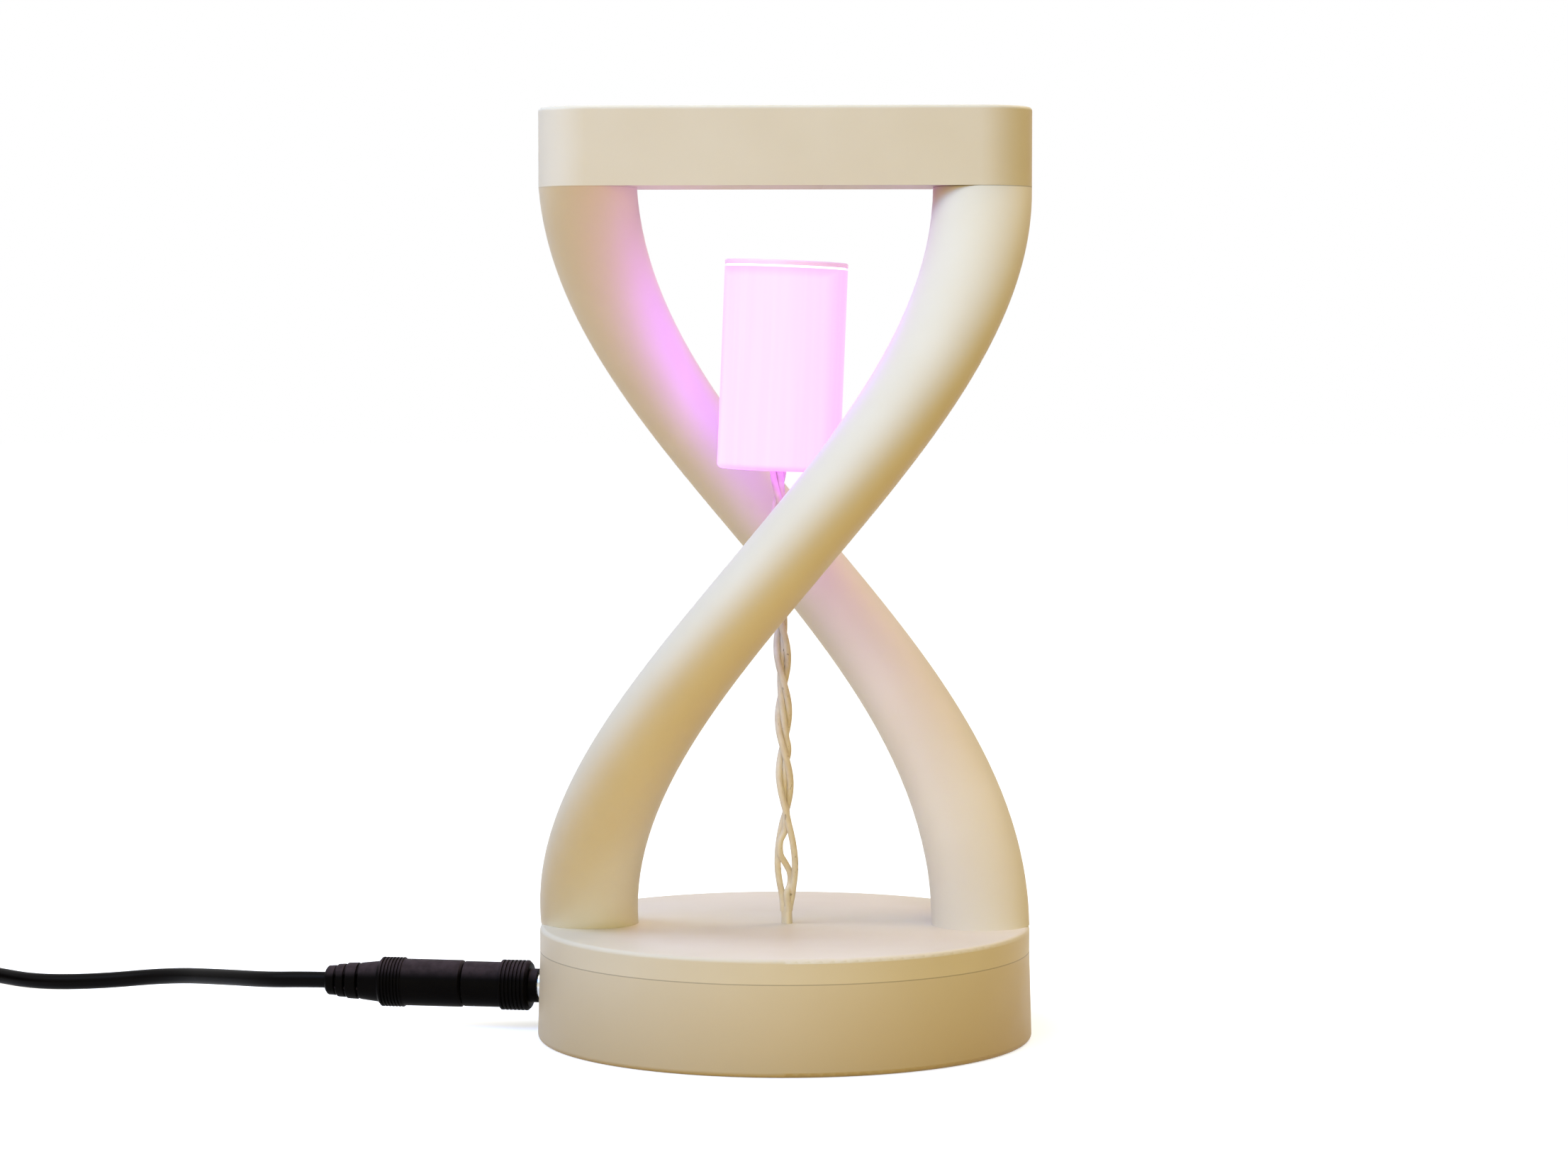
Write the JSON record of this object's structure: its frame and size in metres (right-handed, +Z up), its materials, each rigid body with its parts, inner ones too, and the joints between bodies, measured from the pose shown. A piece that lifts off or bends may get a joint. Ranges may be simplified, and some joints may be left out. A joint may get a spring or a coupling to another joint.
{
  "type": "levitating desk lamp",
  "caption": "Desk lamp with a round base, two twisted columns under a bar, and a small lit shade that floats below it on a thin wire tether.",
  "frame": {"origin": "centre of the base's underside, where the lamp stands", "axes": "+Z up; +X along the top bar; -Y towards the viewer, where the front column passes"},
  "size_m": [0.2834, 0.1235, 0.189],
  "materials": {
    "frame_paint": "satin cream finish with a faint warm metallic cast",
    "shade_diffuser": "frosted, lit from inside",
    "shade_lid": "satin, pale pink white",
    "magnet_nickel": "nickel-plated magnet",
    "core_aluminium": "milled aluminium heat sink",
    "strip_board": "white solder mask",
    "led_package": "white frame with yellow phosphor",
    "wire_insulation": "cream wire insulation",
    "sleeve_heatshrink": "cream shrink sleeve",
    "crimp_brass": "plain turned brass",
    "screw_steel": "zinc-plated steel",
    "board_laminate": "green solder mask",
    "chip_epoxy": "black moulded epoxy",
    "capacitor_can": "sleeved aluminium can",
    "connector_nylon": "natural nylon",
    "wire_red": "red wire insulation",
    "wire_black": "black wire insulation",
    "jack_plastic": "black moulded housing",
    "contact_metal": "nickel-plated contact",
    "plug_plastic": "black moulded plug",
    "cord_rubber": "smooth black cable jacket",
    "tie_fabric": "black woven hook-and-loop strap",
    "usb_steel": "stamped plated steel",
    "tongue_plastic": "white moulded insert"
  },
  "bodies": {
    "frame": {"base_housing": "frame_paint", "base_plate": "frame_paint", "front_column": "frame_paint", "back_column": "frame_paint", "cap_bar": "frame_paint", "magnet_cover": "frame_paint", "cap_dowels": "screw_steel", "cap_magnet": "magnet_nickel", "base_screws": "screw_steel", "column_foot_screws": "screw_steel", "board_screws": "screw_steel", "tether_stop": "crimp_brass", "tether_tails": "wire_insulation", "control_board": "board_laminate", "board_chip": "chip_epoxy", "board_capacitor": "capacitor_can", "board_connector": "connector_nylon", "dc_jack_body": "jack_plastic", "dc_jack_pin": "contact_metal", "dc_jack_terminals": "contact_metal", "jack_lead_red": "wire_red", "jack_lead_black": "wire_black"},
    "tether_foot": {"tether_sleeve": "sleeve_heatshrink"},
    "tether": {"tether_wire_a": "wire_insulation", "tether_wire_b": "wire_insulation", "tether_wire_c": "wire_insulation"},
    "shade": {"shade_body": "shade_diffuser", "shade_lid": "shade_lid", "shade_magnet": "magnet_nickel", "led_core": "core_aluminium", "led_strips": "strip_board", "led_packages": "led_package"},
    "tip": {"tip_body": "plug_plastic", "tip_barrel": "contact_metal", "tip_insulator": "jack_plastic", "tip_socket": "contact_metal", "tip_pin": "contact_metal"},
    "lead": {"lead_plug_body": "plug_plastic", "lead_plug_barrel": "contact_metal", "lead_plug_insulator": "jack_plastic", "lead_strain_relief": "cord_rubber", "power_cord": "cord_rubber", "cord_coil": "cord_rubber", "cord_tail": "cord_rubber", "cord_tie": "tie_fabric", "usb_plug_relief": "cord_rubber", "usb_plug_body": "plug_plastic", "usb_plug_shell": "usb_steel", "usb_plug_tongue": "tongue_plastic", "usb_plug_contacts": "contact_metal"}
  },
  "joints": [
    {"name": "sway_fore", "type": "hinge", "parent": "frame", "child": "tether_foot", "pos_m": [0.0005, 0, 0.0226], "axis": [1, 0, 0], "range_deg": [-5, 5], "stiffness_Nm_per_rad": 0.12},
    {"name": "sway_side", "type": "hinge", "parent": "tether_foot", "child": "tether", "pos_m": [0.0005, 0, 0.02615], "axis": [0, 1, 0], "range_deg": [-5, 5], "stiffness_Nm_per_rad": 0.12},
    {"name": "shade_twist", "type": "hinge", "parent": "tether", "child": "shade", "pos_m": [-0.0013, 0, 0.1158], "axis": [0.0401, 0, 0.9992], "range_deg": [-90, 90], "stiffness_Nm_per_rad": 0.0004},
    {"name": "tip_pull", "type": "slide", "parent": "frame", "child": "tip", "axis": [-0.9914, 0.1305, 0], "range_m": [0, 0.012]},
    {"name": "lead_pull", "type": "slide", "parent": "tip", "child": "lead", "axis": [-0.9914, 0.1305, 0], "range_m": [0, 0.011]}
  ]
}
